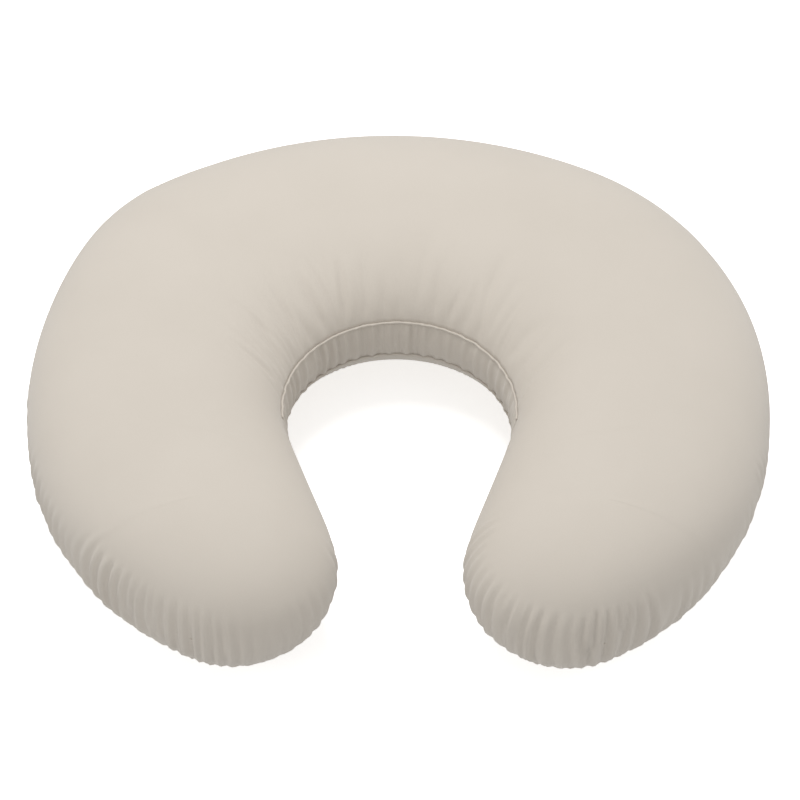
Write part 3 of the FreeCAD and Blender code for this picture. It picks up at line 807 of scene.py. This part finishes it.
def make_label(material):
    """Blank satin label, folded at its foot, whose two ends are sewn into the outer seam beside the zip."""
    chain = outline()[0]
    centre, radius = chain[1][:2]
    across = np.linspace(0, 1, 19)
    angles = LABEL_ANGLE + across * math.degrees(LABEL_WIDTH / radius)
    down = np.linspace(0, LABEL_DROP - LABEL_FOLD, 14)
    fold = np.radians(np.linspace(0, 180, 9))[1:-1]
    z = np.r_[-down, -(LABEL_DROP - LABEL_FOLD) - LABEL_FOLD * np.sin(fold), -down[::-1]]
    share = -z / LABEL_DROP
    stand = np.r_[np.full(14, 2 * LABEL_FOLD), LABEL_FOLD + LABEL_FOLD * np.cos(fold), np.zeros(14)]
    stand = 0.25 + stand * ramp(share, (0, 0.15), (0.5, 1), (1, 1)) + 1.6 * share**2
    curl = 0.5 * np.sin(across * 2 * math.pi + 0.6)
    points = []
    for k, angle in enumerate(angles):
        flat = centre + normals_at(angle) * (radius + stand + curl[k] * share)[:, None]
        points.append(np.c_[flat[:, 0], flat[:, 1] + frame_y(), z + MID_Z])
    grid = np.array(points) * MM
    cols, rows = grid.shape[:2]
    faces = [[i * rows + j, (i + 1) * rows + j, (i + 1) * rows + j + 1, i * rows + j + 1]
             for i in range(cols - 1) for j in range(rows - 1)]
    piece = plain_mesh("care_label_satin", grid.reshape(-1, 3), faces)
    finish_piece(piece, material, replaces=["care_label"])


def dress_cad_nodes(looks):
    """Finishes of the CAD nodes that stay: each node's name starts with a key."""
    for name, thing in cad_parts.items():
        for start, material in looks.items():
            if name.startswith(start):
                thing.data.materials.clear()
                thing.data.materials.append(material)


# --- stage ---
FLOOR_GLOW = 0.5  # the paper is lit from below as on a light table
WORLD_LIGHT = 0.66
LIGHTS = (  # name, place, aim, size in metres, watts
    ("key", (-0.25, 0.62, 1.95), (0, 0, 0.05), 1.0, 21),
    ("side", (-1.5, -0.9, 0.8), (0, -0.1, 0.05), 0.7, 4),
    ("far_side", (1.5, 0.2, 0.7), (0, 0, 0.05), 0.7, 3),
    ("front", (0.1, -1.6, 0.45), (0, 0, 0.05), 0.8, 1),
)
FLOOR_HALF, FLOOR_GAP = 6.0, 0.0004  # metres
LENS = 109.575  # mm, on Blender's own 36 mm sensor
CAMERA_DISTANCE = 1.759
TARGET_Z = 0.068
AIM_UP, AIM_RIGHT = 12.497 * MM, 0.108 * MM  # how far from the hole's centre the camera looks
CAMERA_ELEVATION, CAMERA_AZIMUTH, CAMERA_ROLL = 49.2, 1.77, -1.75


def make_camera():
    e, a, roll = (math.radians(x) for x in (CAMERA_ELEVATION, CAMERA_AZIMUTH, CAMERA_ROLL))
    forward = Vector((math.sin(a) * math.cos(e), math.cos(a) * math.cos(e), -math.sin(e)))
    target = Vector((0, frame_y() * MM, TARGET_Z))
    place = target - forward * CAMERA_DISTANCE
    right = forward.cross(Vector((0, 0, 1))).normalized()
    up = right.cross(forward)
    aim = target + up * AIM_UP + right * AIM_RIGHT
    forward = (aim - place).normalized()
    right = forward.cross(Vector((0, 0, 1))).normalized()
    up = right.cross(forward)
    tilted_right = right * math.cos(roll) - up * math.sin(roll)
    tilted_up = right * math.sin(roll) + up * math.cos(roll)
    camera = bpy.data.objects.new("camera", bpy.data.cameras.new("camera"))
    camera.data.lens = LENS
    axes = Matrix((tilted_right, tilted_up, -forward)).transposed().to_4x4()
    camera.matrix_world = Matrix.Translation(place) @ axes
    camera.data.clip_start, camera.data.clip_end = 0.05, 50
    bpy.context.scene.collection.objects.link(camera)
    bpy.context.scene.camera = camera


def area_light(name, place, target, size, power):
    light = bpy.data.lights.new(name, "AREA")
    light.shape, light.size, light.energy = "DISK", size, power
    lamp = bpy.data.objects.new(name, light)
    lamp.location = place
    lamp.rotation_euler = (Vector(target) - Vector(place)).to_track_quat("-Z", "Y").to_euler()
    bpy.context.scene.collection.objects.link(lamp)


def make_floor():
    mesh = bpy.data.meshes.new("floor")
    h = FLOOR_HALF
    mesh.from_pydata([(-h, -h, 0), (h, -h, 0), (h, h, 0), (-h, h, 0)], [], [(0, 1, 2, 3)])
    floor = bpy.data.objects.new("floor", mesh)
    floor.location.z = -FLOOR_GAP
    material, principled = shader("floor_paper", Roughness=0.9, Emission_Color=(1, 1, 1, 1),
                                  Emission_Strength=FLOOR_GLOW)
    grain = new(material, "ShaderNodeTexNoise", Scale=40.0, Detail=4.0)
    tint = new(material, "ShaderNodeValToRGB", Fac=grain.outputs["Fac"])
    tint.color_ramp.elements[0].color = (0.955, 0.955, 0.955, 1)
    tint.color_ramp.elements[1].color = (0.985, 0.985, 0.985, 1)
    material.node_tree.links.new(tint.outputs["Color"], principled.inputs["Base Color"])
    mesh.materials.append(material)
    bpy.context.scene.collection.objects.link(floor)
    floor.visible_diffuse = False  # the paper throws no light back on the pillow


def make_stage():
    world = bpy.data.worlds.new("studio")
    world.use_nodes = True
    background = world.node_tree.nodes["Background"]
    background.inputs["Color"].default_value = (1, 1, 1, 1)
    background.inputs["Strength"].default_value = WORLD_LIGHT
    bpy.context.scene.world = world
    bpy.context.scene.view_settings.view_transform = "Standard"
    for light in LIGHTS:
        area_light(*light)
    make_floor()


BEIGE, BEIGE_DARK = (0.590, 0.541, 0.479), (0.540, 0.493, 0.432)

make_camera()
make_stage()
start, layout = make_grid()
cloth = sew_in(relax(start, layout), layout)
COVER = woven("cover_cotton", BEIGE, BEIGE_DARK, 0.00045, flat=True)
HIDDEN_COTTON = woven("cover_cotton_turned_in", BEIGE, BEIGE_DARK, 0.00045)
LINER = woven("liner_cloth", (0.80, 0.79, 0.76), (0.72, 0.71, 0.68), 0.0004, flat=True)
FIBRE_LOOK = fibres("polyester_fibre", (0.90, 0.90, 0.88), (0.66, 0.66, 0.64))
TAPE = woven("zip_tape", (0.60, 0.54, 0.46), (0.50, 0.44, 0.37), 0.0007, bump=0.6, sheen=0.1)
COIL = nylon("zip_coil", (0.62, 0.56, 0.48), (0.54, 0.48, 0.40))
NICKEL = metal("zip_metal", (0.70, 0.70, 0.68), (0.55, 0.55, 0.53))
THREAD = woven("thread", (0.68, 0.62, 0.54), (0.60, 0.54, 0.46), 0.0003, bump=0.5, sheen=0.3)
SATIN = woven("label_satin", (0.86, 0.85, 0.83), (0.78, 0.77, 0.75), 0.0003, bump=0.2, rough=(0.35, 0.5),
              sheen=0.4)
make_casing("cover", cloth, layout, COVER, 0.8 * MM)
make_casing("liner", sunk(cloth, layout, 1.8, 5.2), layout, LINER, 0.6 * MM)
make_fill(sunk(cloth, layout, 3.4, 7.0), layout, FIBRE_LOOK)
make_band_seams(cloth, layout, COVER)
make_coils(COIL)
make_topstitch(cloth, layout, THREAD)
make_label(SATIN)
dress_cad_nodes({
    "outer_seam": HIDDEN_COTTON,
    "liner_closing_stitch": THREAD,
    "zip_tape": TAPE,
    "zip_top_stops": NICKEL,
    "zip_bottom_stop": NICKEL,
    "zip_slider_body": NICKEL,
    "zip_pull_tab": NICKEL,
})
